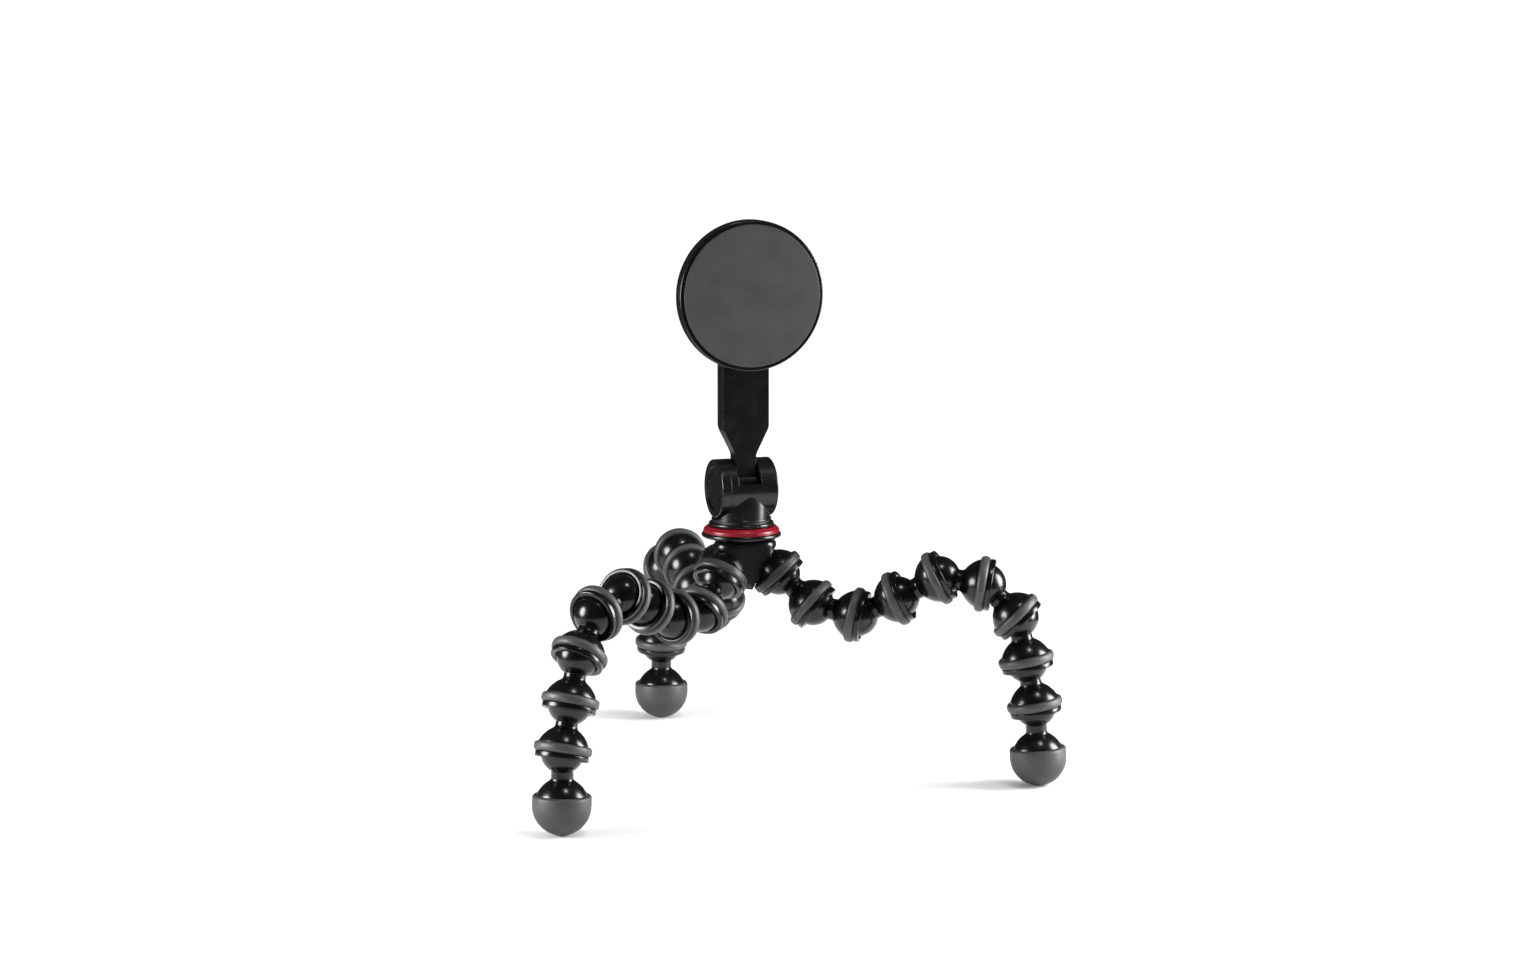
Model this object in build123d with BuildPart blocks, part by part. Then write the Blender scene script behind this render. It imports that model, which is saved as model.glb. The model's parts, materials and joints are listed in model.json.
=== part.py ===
from build123d import *
from math import asin, cos, degrees, radians, sin, sqrt
import os

# Flexible leg tripod with a tilting magnetic holder, in millimetres, +Z up.
# The origin is on the surface that the feet stand on, straight below the hub axis.
# Seen from the front, +X is to the right and +Y points away.

os.makedirs("parts", exist_ok=True)

# Ball and socket links of the legs
link_pitch = 17.2  # ball centre to the centre of the link's own socket
ball_radius = 7.9
ball_clearance = 0.05  # radial running fit of a ball in its socket
ball_flat_radius = 3.0  # moulded flat on the free end of a ball
neck_radius = 4.0
neck_blend = 0.7  # concave blend from the neck into the bell
bell_depth = 8.4  # socket centre back to the foot of the bell
bell_arc_radius = 11.0  # slight bulge of the bell's flank
socket_wall = 1.05
mouth_bevel = 0.6  # lead-in of the socket mouth

# Rubber grip ring moulded round each socket, and the lip in front of it
grip_width = 3.6
grip_height = 1.45
grip_setback = 1.0  # ring centre behind the ball centre
grip_round = 1.1
lip_width = 2.0
lip_height = 0.7
lip_round = 0.45
bond_gap = 0.02  # between a moulded rubber piece and the plastic that carries it

# Feet
foot_reach = 19.3  # last ball centre to the foot centre
foot_radius = 10.6
foot_rim_height = 4.0  # rim of the rubber above the foot centre
foot_rim_round = 1.2
foot_bell_height = 9.2  # foot centre back to the foot of the bell
foot_core_radius = 9.0

# Hub body, with flats between three sockets
socket_count = 3
socket_circle_radius = 14.2  # hub axis to each socket centre
first_socket_azimuth = -4.0
socket_dip = 48.0  # socket axes below horizontal
hub_flat = 10.0  # hub axis to the flats
hub_corner_radius = 13.1  # hub axis to the rounded corners
hub_height = 18.3
hub_rise = 13.5  # socket centres to the top of the hub body
hub_top_round = 2.2
collar_radius = 10.6
collar_height = 0.6
arch_drop = 2.7  # top of the hub body down to the tops of the arches
arch_slope = 28.0  # arch planes lean in downward by this angle
hub_core_radius = 2.6  # coring hole under the stud
hub_core_depth = 9.0

# Fixed plate, accent ring, stud and screws on the hub
plate_radius = 14.9
plate_thickness = 1.9
plate_rim_round = 0.85
accent_radius = 14.25
accent_top_radius = 13.0
accent_height = 2.35
accent_round = 0.8
stud_radius = 3.1  # quarter-inch thread
stud_clearance = 0.08
stud_end_chamfer = 0.6
stud_head_flats = 11.1
stud_head_height = 4.0
stud_engagement = 4.6
hex_clearance = 0.1  # per flat, hexagons in their pockets
plate_screw_radius = 1.25
plate_screw_head_radius = 2.4
plate_screw_length = 6.0
plate_screw_circle_radius = 9.6
screw_socket_radius = 0.7
screw_socket_depth = 0.6
screw_clearance = 0.02  # screw shanks in their threaded holes

# Base of the head and its panning joint
base_boss_radius = 10.9
flange_radius = 12.2
flange_height = 1.65
flange_round = 0.7
spigot_height = 3.6
spigot_seat = 0.8  # spigot let into the base
running_clearance = 0.05  # radial and axial, turning pieces
snap_ring_height = 0.9
snap_ring_depth = 0.7  # bite of the ring into the spigot and into the body
snap_ring_drop = 1.0  # spigot top down to the ring
snap_ring_gap = 3.0
groove_wall = 1.0  # from the ring's groove out to the lock knob's seat
pan_washer_radius = 10.6
pan_washer_thickness = 0.5

# Body of the head: an upright neck under a level barrel
head_pan = 20.0  # the barrel's right end points away by this angle
body_neck_radius = 10.75
bead_radius = 11.2
bead_height = 1.05
bead_round = 0.35
barrel_height = 12.1  # bottom of the head body up to the barrel axis
barrel_radius = 11.0
cheek_wall = 2.8  # beside the washers, on each side of the arm's slot
barrel_edge_round = 0.5
spigot_headroom = 0.3

# Tilt arm with its lug between the cheeks of the barrel
lug_radius = 7.2
lug_width = 7.8
slot_clearance = 0.3
tilt_washer_radius = 6.8
tilt_washer_thickness = 0.5
tilt_forward = 45.0
tilt_back = 90.0
arm_front = 5.6  # barrel axis to the arm's front face
arm_thickness = 8.0
arm_half_width = 9.0
arm_shoulder_height = 13.0
arm_taper_height = 10.0
arm_edge_round = 1.6
holder_height = 73.0  # barrel axis up to the centre of the holder
arm_screw_spacing = 13.0
arm_screw_radius = 1.5
arm_screw_head_radius = 2.9
arm_screw_length = 6.5

# Lock knob, its bolt and the captive nut
knob_thickness = 3.6
knob_gap = 0.1
knob_seat_clearance = 0.3
knob_edge_round = 0.6
knob_dish_radius = 8.2
knob_dish_depth = 0.5
tilt_bolt_radius = 2.45
tilt_bolt_head_flats = 8.0
tilt_bolt_head_height = 1.8
tilt_nut_flats = 8.0
tilt_nut_height = 3.6
end_cap_radius = 8.5
end_cap_thickness = 1.2

# Magnetic holder
magnet_outer_radius = 27.0
magnet_width = 4.0
magnet_thickness = 2.0
magnet_count = 16
magnet_gap = 0.4
yoke_thickness = 1.0
groove_clearance = 0.05
holder_rim = 1.0  # outside the magnets
holder_rib = 2.4  # inside the magnets
shell_thickness = 5.0
shell_edge_round = 2.0
cover_thickness = 1.8
cover_spigot_wall = 1.5
cover_spigot_depth = 2.0
cover_edge_round = 0.5
pad_recess_depth = 0.8
pad_inset = 0.5  # from the outside of the magnets
pad_thickness = 1.35
pad_edge_round = 0.3

overrun = 1.0  # cuts run past the faces that they open

# The stance: azimuth and dip in degrees of each link, from the hub to the foot
stance_angles = {
    "right": [(-14, 40), (-12, 12), (-10, -25), (-7, -28), (-6, 8), (-6, 45), (-6, 78), (-5, 79), (-5, 86)],
    "left": [
        (-119, 35), (-124, 0), (-124, -22), (-121, -21), (-124, 14), (-122, 49), (-122, 71), (-122, 74), (-123, 88)
    ],
    "rear": [(107, 53), (105, 19), (104, -15), (104, -19), (104, -9), (109, 28), (110, 64), (112, 85), (113, 90)],
}
leading_leg = "right"  # its stance sets the height of the hub
levelling_link = 5  # counted from 0: the link that is turned until the foot meets the floor

# Sizes that follow from the ones above
socket_radius = ball_radius + ball_clearance
bell_radius = socket_radius + socket_wall
lip_radius = bell_radius + lip_height
grip_back = grip_setback + grip_width / 2
grip_front = grip_width / 2 - grip_setback
mouth_height = grip_front + lip_width


def reach(index):
    """Length of the link with this number, counted from the hub."""
    last = len(stance_angles[leading_leg]) - 1
    return foot_reach if index == last else link_pitch


def drop(stance):
    """Height that a leg comes down from its socket centre to its foot centre."""
    return sum(reach(index) * sin(radians(dip)) for index, (azimuth, dip) in enumerate(stance))


def levelled(stance):
    """The stance with one link turned so that the foot comes down as far as the leading leg's."""
    missing = drop(stance_angles[leading_leg]) - drop(stance)
    azimuth, dip = stance[levelling_link]
    turned = degrees(asin(sin(radians(dip)) + missing / reach(levelling_link)))
    return stance[:levelling_link] + [(azimuth, turned)] + stance[levelling_link + 1 :]


def heading(azimuth, dip):
    """Unit vector that points this many degrees round from +X and down from level."""
    a = radians(azimuth)
    d = radians(dip)
    return Vector(cos(d) * cos(a), cos(d) * sin(a), -sin(d))


def profile_plane(origin, azimuth, dip):
    """Sketch plane with its Y axis along the heading and its X axis level."""
    side = Vector(-sin(radians(azimuth)), cos(radians(azimuth)), 0)
    return Plane(origin=origin, x_dir=side, z_dir=side.cross(heading(azimuth, dip)))


def turned_about(plane):
    """The line that a profile on this plane is turned about."""
    return Axis(plane.origin, plane.y_dir)


def hexagon_radius(flats):
    """Corner radius of a hexagon from the size across its flats."""
    return flats / sqrt(3)


socket_height = drop(stance_angles[leading_leg]) + foot_radius
socket_azimuths = [first_socket_azimuth + turn for turn in (0, -360 / socket_count, 360 / socket_count)]
hub_top = socket_height + hub_rise
plate_bottom = hub_top + collar_height
plate_top = plate_bottom + plate_thickness
flange_bottom = plate_top + accent_height
flange_top = flange_bottom + flange_height
spigot_bottom = flange_top - spigot_seat
spigot_top = flange_top + spigot_height
body_bottom = flange_top + pan_washer_thickness + running_clearance
barrel_axis_height = body_bottom + barrel_height


def socket_centre(azimuth):
    """Centre of the hub socket at this azimuth."""
    return heading(azimuth, 0) * socket_circle_radius + Vector(0, 0, socket_height)


# Profiles that several pieces share. Each is drawn inside the BuildPart block that calls it.


def add_ball(plane):
    """Ball round the plane's origin, with a flat on its free end."""
    flat = sqrt(ball_radius**2 - ball_flat_radius**2)
    with BuildSketch(plane) as half:
        with BuildLine():
            Polyline((0, ball_radius), (0, -flat), (ball_flat_radius, -flat))
            ThreePointArc((ball_flat_radius, -flat), (ball_radius, 0), (0, ball_radius))
        make_face()
    revolve(half.sketch, axis=turned_about(plane))


def add_bell(plane, stem_start, centre):
    """Stem and bell of a socket whose centre is this far along the plane's Y axis."""
    foot = centre - bell_depth
    with BuildSketch(plane) as half:
        with BuildLine():
            Polyline((neck_radius, foot), (neck_radius, stem_start), (0, stem_start), (0, centre + mouth_height))
            Polyline(
                (0, centre + mouth_height),
                (lip_radius, centre + mouth_height),
                (lip_radius, centre + grip_front),
                (bell_radius, centre + grip_front),
                (bell_radius, centre - grip_back),
            )
            RadiusArc((bell_radius, centre - grip_back), (neck_radius, foot), bell_arc_radius)
        make_face()
        fillet(half.vertices().sort_by_distance((neck_radius, foot))[0], neck_blend)
        lip_corners = [(lip_radius, centre + mouth_height), (lip_radius, centre + grip_front)]
        fillet([half.vertices().sort_by_distance(corner)[0] for corner in lip_corners], lip_round)
    revolve(half.sketch, axis=turned_about(plane))


def cut_socket(plane, centre):
    """Ball cavity and bevelled mouth of a socket, cut from the part under way."""
    edge = mouth_height - mouth_bevel
    edge_radius = sqrt(socket_radius**2 - edge**2)
    with BuildSketch(plane) as half:
        with BuildLine():
            ThreePointArc((0, centre - socket_radius), (socket_radius, centre), (edge_radius, centre + edge))
            Polyline(
                (edge_radius, centre + edge),
                (edge_radius + mouth_bevel, centre + mouth_height),
                (edge_radius + mouth_bevel, centre + mouth_height + overrun),
                (0, centre + mouth_height + overrun),
                (0, centre - socket_radius),
            )
        make_face()
    revolve(half.sketch, axis=turned_about(plane), mode=Mode.SUBTRACT)


def add_grip(plane, centre):
    """Rubber grip ring of a socket, just clear of the band that carries it."""
    inner = bell_radius + bond_gap
    outer = bell_radius + grip_height
    back = centre - grip_back + bond_gap
    front = centre + grip_front - bond_gap
    with BuildSketch(plane) as half:
        Polygon((inner, back), (outer, back), (outer, front), (inner, front), align=None)
        outer_corners = [(outer, back), (outer, front)]
        fillet([half.vertices().sort_by_distance(corner)[0] for corner in outer_corners], grip_round)
    revolve(half.sketch, axis=turned_about(plane))


# Legs: eight links and a foot each

for leg, socket_azimuth in zip(stance_angles, socket_azimuths):
    stance = levelled(stance_angles[leg])
    ball_centre = socket_centre(socket_azimuth)
    for index, (azimuth, dip) in enumerate(stance[:-1]):
        plane = profile_plane(ball_centre, azimuth, dip)
        with BuildPart() as link:
            add_ball(plane)
            add_bell(plane, 0, link_pitch)
            cut_socket(plane, link_pitch)
            add_grip(plane, link_pitch)
        link.part.label = f"{leg}_link_{index + 1}"
        export_step(link.part, f"parts/{link.part.label}.step")
        ball_centre = ball_centre + heading(azimuth, dip) * link_pitch

    plane = profile_plane(ball_centre, *stance[-1])
    core_rim = foot_reach - foot_rim_height
    bell_foot = foot_reach - foot_bell_height
    core_nose = foot_reach + sqrt(foot_core_radius**2 - neck_radius**2)
    with BuildPart() as foot_core:
        add_ball(plane)
        with BuildSketch(plane) as half:
            with BuildLine():
                Polyline((foot_core_radius, core_rim), (foot_core_radius, foot_reach))
                ThreePointArc(
                    (foot_core_radius, foot_reach),
                    (foot_core_radius * sin(radians(45)), foot_reach + foot_core_radius * cos(radians(45))),
                    (neck_radius, core_nose),
                )
                Polyline((neck_radius, core_nose), (0, core_nose), (0, 0), (neck_radius, 0), (neck_radius, bell_foot))
                RadiusArc((neck_radius, bell_foot), (foot_core_radius, core_rim), -bell_arc_radius)
            make_face()
            fillet(half.vertices().sort_by_distance((neck_radius, bell_foot))[0], neck_blend)
        revolve(axis=turned_about(plane))
    foot_core.part.label = f"{leg}_foot_core"
    export_step(foot_core.part, f"parts/{foot_core.part.label}.step")

    pad_bore = foot_core_radius + bond_gap
    pad_floor = core_nose + bond_gap
    with BuildPart() as foot_pad:
        with BuildSketch(plane) as half:
            with BuildLine():
                Line((foot_radius, core_rim), (foot_radius, foot_reach))
                ThreePointArc(
                    (foot_radius, foot_reach),
                    (foot_radius * sin(radians(45)), foot_reach + foot_radius * cos(radians(45))),
                    (0, foot_reach + foot_radius),
                )
                Polyline((0, foot_reach + foot_radius), (0, pad_floor), (neck_radius + bond_gap, pad_floor))
                ThreePointArc(
                    (neck_radius + bond_gap, pad_floor),
                    (pad_bore * sin(radians(45)), foot_reach + pad_bore * cos(radians(45))),
                    (pad_bore, foot_reach),
                )
                Polyline((pad_bore, foot_reach), (pad_bore, core_rim), (foot_radius, core_rim))
            make_face()
            fillet(half.vertices().sort_by_distance((foot_radius, core_rim))[0], foot_rim_round)
        revolve(axis=turned_about(plane))
    foot_pad.part.label = f"{leg}_foot_pad"
    export_step(foot_pad.part, f"parts/{foot_pad.part.label}.step")

# Hub body: a rounded triangle with a corner over each socket, cut back under the arches

hub_bottom = hub_top - hub_height
stud_head_bottom = plate_bottom - stud_head_height - hex_clearance
screw_places = [
    (plate_screw_circle_radius * cos(radians(azimuth)), plate_screw_circle_radius * sin(radians(azimuth)))
    for azimuth in socket_azimuths
]
screw_tip = plate_top - plate_screw_length

with BuildPart() as hub_shell:
    with BuildSketch(Plane.XY.offset(hub_bottom)) as outline:
        RegularPolygon(2 * hub_flat, socket_count, rotation=first_socket_azimuth)
        fillet(outline.vertices(), 2 * hub_flat - hub_corner_radius)
    extrude(amount=hub_height)
    fillet(hub_shell.faces().sort_by(Axis.Z)[-1].edges(), hub_top_round)
    for azimuth in socket_azimuths:
        arch_top = heading(azimuth, 0) * hub_corner_radius + Vector(0, 0, hub_top - arch_drop)
        split(bisect_by=Plane(origin=arch_top, z_dir=heading(azimuth, arch_slope)), keep=Keep.BOTTOM)
    with BuildSketch(Plane.XY.offset(hub_top)):
        Circle(collar_radius)
    extrude(amount=collar_height)
    for azimuth in socket_azimuths:
        add_bell(profile_plane(socket_centre(azimuth), azimuth, socket_dip), -bell_depth - neck_radius / 2, 0)
    for azimuth in socket_azimuths:
        cut_socket(profile_plane(socket_centre(azimuth), azimuth, socket_dip), 0)
    with BuildSketch(Plane.XY.offset(plate_bottom)):
        RegularPolygon(hexagon_radius(stud_head_flats + 2 * hex_clearance), 6)
    extrude(amount=stud_head_bottom - plate_bottom, mode=Mode.SUBTRACT)
    with BuildSketch(Plane.XY.offset(stud_head_bottom)):
        Circle(hub_core_radius)
    extrude(amount=-hub_core_depth, mode=Mode.SUBTRACT)
    with BuildSketch(Plane.XY.offset(plate_bottom)):
        with Locations(*screw_places):
            Circle(plate_screw_radius + screw_clearance)
    extrude(amount=screw_tip - screw_clearance - plate_bottom, mode=Mode.SUBTRACT)
hub_shell.part.label = "hub_shell"
export_step(hub_shell.part, "parts/hub_shell.step")

with BuildPart() as socket_grip_rings:
    for azimuth in socket_azimuths:
        add_grip(profile_plane(socket_centre(azimuth), azimuth, socket_dip), 0)
socket_grip_rings.part.label = "socket_grip_rings"
export_step(socket_grip_rings.part, "parts/socket_grip_rings.step")

# Stud whose head is trapped between the hub body and the plate

stud_top = plate_top + stud_engagement
with BuildPart() as mounting_stud:
    with BuildSketch(Plane.XY.offset(plate_bottom - stud_head_height)):
        RegularPolygon(hexagon_radius(stud_head_flats), 6)
    extrude(amount=stud_head_height)
    with BuildSketch(Plane.XY.offset(plate_bottom)):
        Circle(stud_radius)
    extrude(amount=stud_top - plate_bottom)
    chamfer(mounting_stud.faces().sort_by(Axis.Z)[-1].edges(), stud_end_chamfer)
mounting_stud.part.label = "mounting_stud"
export_step(mounting_stud.part, "parts/mounting_stud.step")

with BuildPart() as mounting_plate:
    with BuildSketch(Plane.XY.offset(plate_bottom)):
        Circle(plate_radius)
    extrude(amount=plate_thickness)
    fillet(mounting_plate.edges().filter_by(GeomType.CIRCLE), plate_rim_round)
    with Locations(Plane.XY.offset(plate_top)):
        Hole(stud_radius + stud_clearance)
        with Locations(*screw_places):
            CounterSinkHole(
                plate_screw_radius + screw_clearance, plate_screw_head_radius + screw_clearance, counter_sink_angle=90
            )
mounting_plate.part.label = "mounting_plate"
export_step(mounting_plate.part, "parts/mounting_plate.step")

with BuildPart() as plate_screws:
    with BuildSketch(Plane.XY.offset(screw_tip)):
        with Locations(*screw_places):
            Circle(plate_screw_radius)
    extrude(amount=plate_screw_length)
    for place in screw_places:
        with BuildSketch(Plane.XY.offset(plate_top)):
            with Locations(place):
                Circle(plate_screw_head_radius)
        extrude(amount=-(plate_screw_head_radius - plate_screw_radius), taper=45)
    with BuildSketch(Plane.XY.offset(plate_top)):
        with Locations(*screw_places):
            RegularPolygon(screw_socket_radius, 6)
    extrude(amount=-screw_socket_depth, mode=Mode.SUBTRACT)
plate_screws.part.label = "plate_screws"
export_step(plate_screws.part, "parts/plate_screws.step")

with BuildPart() as accent_ring:
    with BuildSketch(Plane.XZ) as half:
        inner = base_boss_radius + running_clearance
        Polygon(
            (inner, plate_top),
            (accent_radius, plate_top),
            (accent_radius, plate_top + accent_height / 2),
            (accent_top_radius, flange_bottom),
            (inner, flange_bottom),
            align=None,
        )
        outer_corners = [(accent_radius, plate_top + accent_height / 2), (accent_top_radius, flange_bottom)]
        fillet([half.vertices().sort_by_distance(corner)[0] for corner in outer_corners], accent_round)
    revolve(axis=Axis.Z)
accent_ring.part.label = "accent_ring"
export_step(accent_ring.part, "parts/accent_ring.step")

# Widths along the barrel, from its middle out to the knob, and the spigot that fits between them

lug_half = lug_width / 2
slot_half = lug_half + tilt_washer_thickness + 2 * running_clearance
cheek_face = slot_half + cheek_wall
barrel_half_length = cheek_face + knob_gap + knob_thickness
spigot_radius = cheek_face - groove_wall - snap_ring_depth - 2 * running_clearance
ring_top = spigot_top - snap_ring_drop
ring_bottom = ring_top - snap_ring_height

# Base of the head and the turned spigot in it, which the head pans on

with BuildPart() as head_base:
    with BuildSketch(Plane.XZ) as half:
        with BuildLine():
            Polyline(
                (stud_radius + stud_clearance, plate_top),
                (base_boss_radius, plate_top),
                (base_boss_radius, flange_bottom),
                (flange_radius, flange_bottom),
                (flange_radius, flange_top),
                (spigot_radius + bond_gap, flange_top),
                (spigot_radius + bond_gap, spigot_bottom),
                (stud_radius + stud_clearance, spigot_bottom),
                close=True,
            )
        make_face()
        rim_corners = [(flange_radius, flange_bottom), (flange_radius, flange_top)]
        fillet([half.vertices().sort_by_distance(corner)[0] for corner in rim_corners], flange_round)
    revolve(axis=Axis.Z)
head_base.part.label = "head_base"
export_step(head_base.part, "parts/head_base.step")

with BuildPart() as pan_spigot:
    with BuildSketch(Plane.XZ):
        with BuildLine():
            Polyline(
                (stud_radius + stud_clearance, spigot_bottom),
                (spigot_radius, spigot_bottom),
                (spigot_radius, ring_bottom - running_clearance),
                (spigot_radius - snap_ring_depth, ring_bottom - running_clearance),
                (spigot_radius - snap_ring_depth, ring_top + running_clearance),
                (spigot_radius, ring_top + running_clearance),
                (spigot_radius, spigot_top),
                (stud_radius + stud_clearance, spigot_top),
                close=True,
            )
        make_face()
    revolve(axis=Axis.Z)
pan_spigot.part.label = "pan_spigot"
export_step(pan_spigot.part, "parts/pan_spigot.step")

snap_inner = spigot_radius - snap_ring_depth + bond_gap
snap_outer = spigot_radius + running_clearance + snap_ring_depth
with BuildPart() as pan_snap_ring:
    with BuildSketch(Plane.XY.offset(ring_bottom)):
        Circle(snap_outer)
        Circle(snap_inner, mode=Mode.SUBTRACT)
        with Locations((snap_outer, 0)):
            Rectangle(2 * (snap_outer - snap_inner) + snap_ring_gap, snap_ring_gap, mode=Mode.SUBTRACT)
    extrude(amount=snap_ring_height)
pan_snap_ring.part.label = "pan_snap_ring"
export_step(pan_snap_ring.part, "parts/pan_snap_ring.step")

with BuildPart() as pan_washer:
    with BuildSketch(Plane.XY.offset(flange_top)):
        Circle(pan_washer_radius)
        Circle(spigot_radius + running_clearance, mode=Mode.SUBTRACT)
    extrude(amount=pan_washer_thickness)
pan_washer.part.label = "pan_washer"
export_step(pan_washer.part, "parts/pan_washer.step")

# Planes of the head: one across the barrel, with X back and Y up, and one facing the front

along = Vector(cos(radians(head_pan)), sin(radians(head_pan)), 0)
back = Vector(-sin(radians(head_pan)), cos(radians(head_pan)), 0)
barrel_centre = Vector(0, 0, barrel_axis_height)
holder_centre = Vector(0, 0, barrel_axis_height + holder_height)


def across_barrel(offset):
    """Plane square to the barrel, this far along it from its middle."""
    return Plane(origin=barrel_centre + along * offset, x_dir=back, z_dir=along)


def facing_front(depth, centre):
    """Plane that looks to the front, this far before the barrel axis."""
    return Plane(origin=centre - back * depth, x_dir=along, z_dir=back * -1)


nut_bottom = barrel_half_length - end_cap_thickness - tilt_nut_height - running_clearance
bolt_bore = tilt_bolt_radius + running_clearance

# Body of the head. The slot for the arm is open as far as the arm swings.

slot_radius = lug_radius + slot_clearance
slot_reach = barrel_radius + bead_radius
front_cut = arm_front + slot_clearance
rear_cut = arm_thickness - arm_front + slot_clearance
front_lean = radians(tilt_forward)
front_start = (-front_cut * cos(front_lean), -front_cut * sin(front_lean))
front_end = (front_start[0] - slot_reach * sin(front_lean), front_start[1] + slot_reach * cos(front_lean))
rear_lean = radians(tilt_back)
rear_start = (rear_cut * cos(rear_lean), -rear_cut * sin(rear_lean))
rear_end = (rear_start[0] + slot_reach * sin(rear_lean), rear_start[1] + slot_reach * cos(rear_lean))

with BuildPart() as head_body:
    with BuildSketch(Plane.XY.offset(body_bottom)):
        Circle(body_neck_radius)
    extrude(amount=barrel_height)
    with BuildSketch(Plane.XZ) as half:
        bead_top = body_bottom + bead_height
        Polygon((0, body_bottom), (bead_radius, body_bottom), (bead_radius, bead_top), (0, bead_top), align=None)
        bead_corners = [(bead_radius, body_bottom), (bead_radius, bead_top)]
        fillet([half.vertices().sort_by_distance(corner)[0] for corner in bead_corners], bead_round)
    revolve(axis=Axis.Z)
    with BuildSketch(across_barrel(-barrel_half_length - overrun)):
        Circle(barrel_radius + knob_seat_clearance)
    extrude(amount=barrel_half_length + overrun - cheek_face, mode=Mode.SUBTRACT)
    with BuildSketch(Plane(origin=barrel_centre, x_dir=back, z_dir=back.cross(along))) as half:
        Polygon(
            (0, -cheek_face),
            (barrel_radius, -cheek_face),
            (barrel_radius, barrel_half_length),
            (0, barrel_half_length),
            align=None,
        )
        fillet(half.vertices().sort_by_distance((barrel_radius, barrel_half_length))[0], barrel_edge_round)
    revolve(axis=Axis(barrel_centre, along))
    with BuildSketch(across_barrel(-slot_half)):
        Circle(slot_radius)
        Polygon(
            rear_start,
            rear_end,
            (rear_end[0], slot_reach),
            (front_end[0], slot_reach),
            front_end,
            front_start,
            align=None,
        )
    extrude(amount=2 * slot_half, mode=Mode.SUBTRACT)
    with BuildSketch(across_barrel(-cheek_face - overrun)):
        Circle(bolt_bore)
    extrude(amount=2 * cheek_face + overrun, mode=Mode.SUBTRACT)
    with BuildSketch(across_barrel(nut_bottom)):
        RegularPolygon(hexagon_radius(tilt_nut_flats + 2 * hex_clearance), 6)
    extrude(amount=barrel_half_length - nut_bottom, mode=Mode.SUBTRACT)
    with BuildSketch(across_barrel(barrel_half_length)):
        Circle(end_cap_radius + running_clearance)
    extrude(amount=-end_cap_thickness, mode=Mode.SUBTRACT)
    with BuildSketch(Plane.XY.offset(body_bottom)):
        Circle(spigot_radius + running_clearance)
    extrude(amount=spigot_top + spigot_headroom - body_bottom, mode=Mode.SUBTRACT)
    with BuildSketch(Plane.XY.offset(ring_bottom - running_clearance)):
        Circle(snap_outer + running_clearance)
    extrude(amount=snap_ring_height + 2 * running_clearance, mode=Mode.SUBTRACT)
head_body.part.label = "head_body"
export_step(head_body.part, "parts/head_body.step")

with BuildPart() as tilt_nut:
    with BuildSketch(across_barrel(nut_bottom + running_clearance)):
        RegularPolygon(hexagon_radius(tilt_nut_flats), 6)
        Circle(bolt_bore, mode=Mode.SUBTRACT)
    extrude(amount=tilt_nut_height)
tilt_nut.part.label = "tilt_nut"
export_step(tilt_nut.part, "parts/tilt_nut.step")

with BuildPart() as barrel_end_cap:
    with BuildSketch(across_barrel(barrel_half_length)):
        Circle(end_cap_radius)
    extrude(amount=-end_cap_thickness)
    chamfer(barrel_end_cap.faces().sort_by(Axis(barrel_centre, along))[-1].edges(), end_cap_thickness / 4)
barrel_end_cap.part.label = "barrel_end_cap"
export_step(barrel_end_cap.part, "parts/barrel_end_cap.step")

# Lock knob on the barrel's left end, and the bolt that it turns

knob_inner = -cheek_face - knob_gap
head_pocket = tilt_bolt_head_height + running_clearance
with BuildPart() as tilt_lock_knob:
    with BuildSketch(across_barrel(knob_inner)):
        Circle(barrel_radius)
    extrude(amount=-knob_thickness)
    outer_face = tilt_lock_knob.faces().sort_by(Axis(barrel_centre, along))[0]
    fillet(outer_face.edges(), knob_edge_round)
    with BuildSketch(across_barrel(knob_inner - knob_thickness)):
        Circle(knob_dish_radius)
    extrude(amount=knob_dish_depth, mode=Mode.SUBTRACT)
    with BuildSketch(across_barrel(knob_inner)):
        RegularPolygon(hexagon_radius(tilt_bolt_head_flats + 2 * hex_clearance), 6)
    extrude(amount=-head_pocket, mode=Mode.SUBTRACT)
tilt_lock_knob.part.label = "tilt_lock_knob"
export_step(tilt_lock_knob.part, "parts/tilt_lock_knob.step")

bolt_end = barrel_half_length - end_cap_thickness - 2 * running_clearance
with BuildPart() as tilt_bolt:
    with BuildSketch(across_barrel(knob_inner - tilt_bolt_head_height)):
        RegularPolygon(hexagon_radius(tilt_bolt_head_flats), 6)
    extrude(amount=tilt_bolt_head_height)
    with BuildSketch(across_barrel(knob_inner)):
        Circle(tilt_bolt_radius)
    extrude(amount=bolt_end - knob_inner)
    chamfer(tilt_bolt.faces().sort_by(Axis(barrel_centre, along))[-1].edges(), tilt_bolt_radius / 6)
tilt_bolt.part.label = "tilt_bolt"
export_step(tilt_bolt.part, "parts/tilt_bolt.step")

with BuildPart() as tilt_washers:
    for start in (-lug_half - running_clearance - tilt_washer_thickness, lug_half + running_clearance):
        with BuildSketch(across_barrel(start)):
            Circle(tilt_washer_radius)
            Circle(bolt_bore, mode=Mode.SUBTRACT)
        extrude(amount=tilt_washer_thickness)
tilt_washers.part.label = "tilt_washers"
export_step(tilt_washers.part, "parts/tilt_washers.step")

# Arm from the barrel up to the back of the holder

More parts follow.
